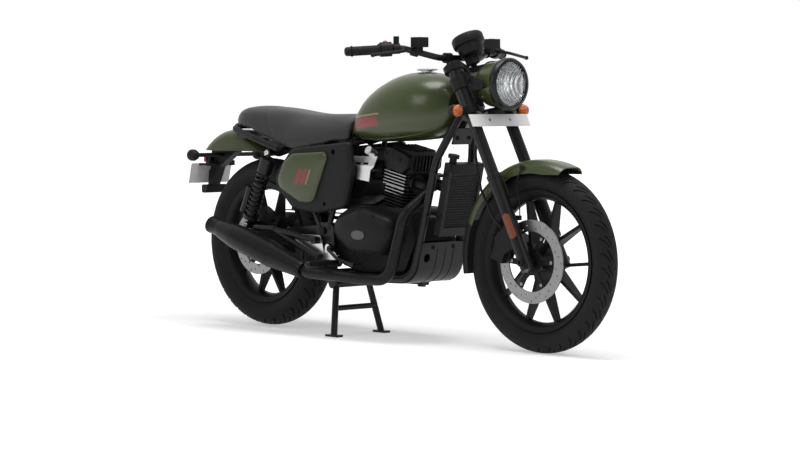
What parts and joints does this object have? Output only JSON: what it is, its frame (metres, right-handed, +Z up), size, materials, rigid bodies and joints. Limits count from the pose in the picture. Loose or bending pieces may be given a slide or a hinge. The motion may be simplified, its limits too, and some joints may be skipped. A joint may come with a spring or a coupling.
{
  "type": "standard motorcycle",
  "caption": "Upright road motorcycle with a flat twin-place seat, rounded tank, round headlamp, forked cast wheels, low twin silencers and a centre stand.",
  "frame": {"origin": "floor level under the middle of the machine's box", "axes": "+X forward, +Y to the rider's left, +Z up"},
  "size_m": [2.0456, 0.7902, 1.0858],
  "materials": {
    "green_paint": "satin",
    "black_paint": "satin",
    "black_cast": "black cast",
    "black_plastic": "matt",
    "black_steel": "heat-proof black",
    "bare_steel": "ground",
    "bare_alloy": "satin",
    "seat_cover": "grained",
    "tyre_rubber": "matt",
    "grip_rubber": "matt",
    "clear_glass": "clear",
    "reflector": "bright",
    "amber_lens": "clear amber",
    "red_lens": "clear",
    "plate_white": "satin"
  },
  "bodies": {
    "chassis": {"frame": "black_paint", "fuel_tank": "green_paint", "fuel_cap": "bare_alloy", "seat": "seat_cover", "grab_rail": "black_plastic", "rear_fender": "green_paint", "rear_lamps": "red_lens", "plate_bracket": "black_plastic", "number_plate": "plate_white", "side_covers": "black_plastic", "side_panels": "green_paint", "crankcase": "black_cast", "cylinder": "black_cast", "cylinder_head": "black_cast", "head_cover": "black_cast", "intake": "black_plastic", "key_switch": "bare_alloy", "exhaust_pipes": "black_steel", "mufflers": "black_steel", "radiator": "black_cast", "skid_plate": "black_paint", "swingarm": "black_paint", "rear_axle": "bare_steel", "shock_bodies": "black_paint", "shock_springs": "black_paint", "rear_caliper": "black_cast", "chain": "bare_steel", "chain_guard": "black_plastic", "footrests": "black_paint", "foot_controls": "black_paint", "tube_plate": "black_paint"},
    "steering": {"yokes": "black_cast", "fork_legs": "black_paint", "headlamp_shell": "green_paint", "headlamp_rim": "black_paint", "headlamp_glass": "clear_glass", "headlamp_reflector": "reflector", "instrument": "black_plastic", "handlebar": "black_paint", "grips": "grip_rubber", "hand_controls": "black_plastic", "front_lamps": "amber_lens", "front_plate": "plate_white", "front_fender": "green_paint", "front_axle": "bare_steel", "front_caliper": "black_cast", "mud_flap": "black_plastic", "mirror_seats": "black_cast", "brake_hose": "grip_rubber", "sensor_lead": "grip_rubber"},
    "front_wheel": {"front_wheel": "black_cast", "front_tyre": "tyre_rubber", "front_disc": "bare_steel"},
    "rear_wheel": {"rear_wheel": "black_cast", "rear_tyre": "tyre_rubber", "rear_disc": "bare_steel", "sprocket": "bare_steel"},
    "centre_stand": {"centre_stand": "black_paint"},
    "side_stand": {"side_stand": "black_paint"}
  },
  "joints": [
    {"name": "steering_turn", "type": "hinge", "parent": "chassis", "child": "steering", "pos_m": [0.3826, 0, 0.85931], "axis": [-0.454, 0, 0.891], "range_deg": [-35, 35]},
    {"name": "front_wheel_spin", "type": "hinge", "parent": "steering", "child": "front_wheel", "pos_m": [0.71325, 0, 0.3095], "axis": [0, 1, 0], "continuous": true},
    {"name": "rear_wheel_spin", "type": "hinge", "parent": "chassis", "child": "rear_wheel", "pos_m": [-0.65575, 0, 0.318], "axis": [0, 1, 0], "continuous": true},
    {"name": "centre_stand_fold", "type": "hinge", "parent": "chassis", "child": "centre_stand", "pos_m": [-0.21575, 0, 0.186], "axis": [0, 1, 0], "range_deg": [0, 78]},
    {"name": "side_stand_fold", "type": "hinge", "parent": "chassis", "child": "side_stand", "pos_m": [0.03425, 0.112, 0.193], "axis": [0, -0.9003, -0.4352], "range_deg": [0, 105]}
  ]
}
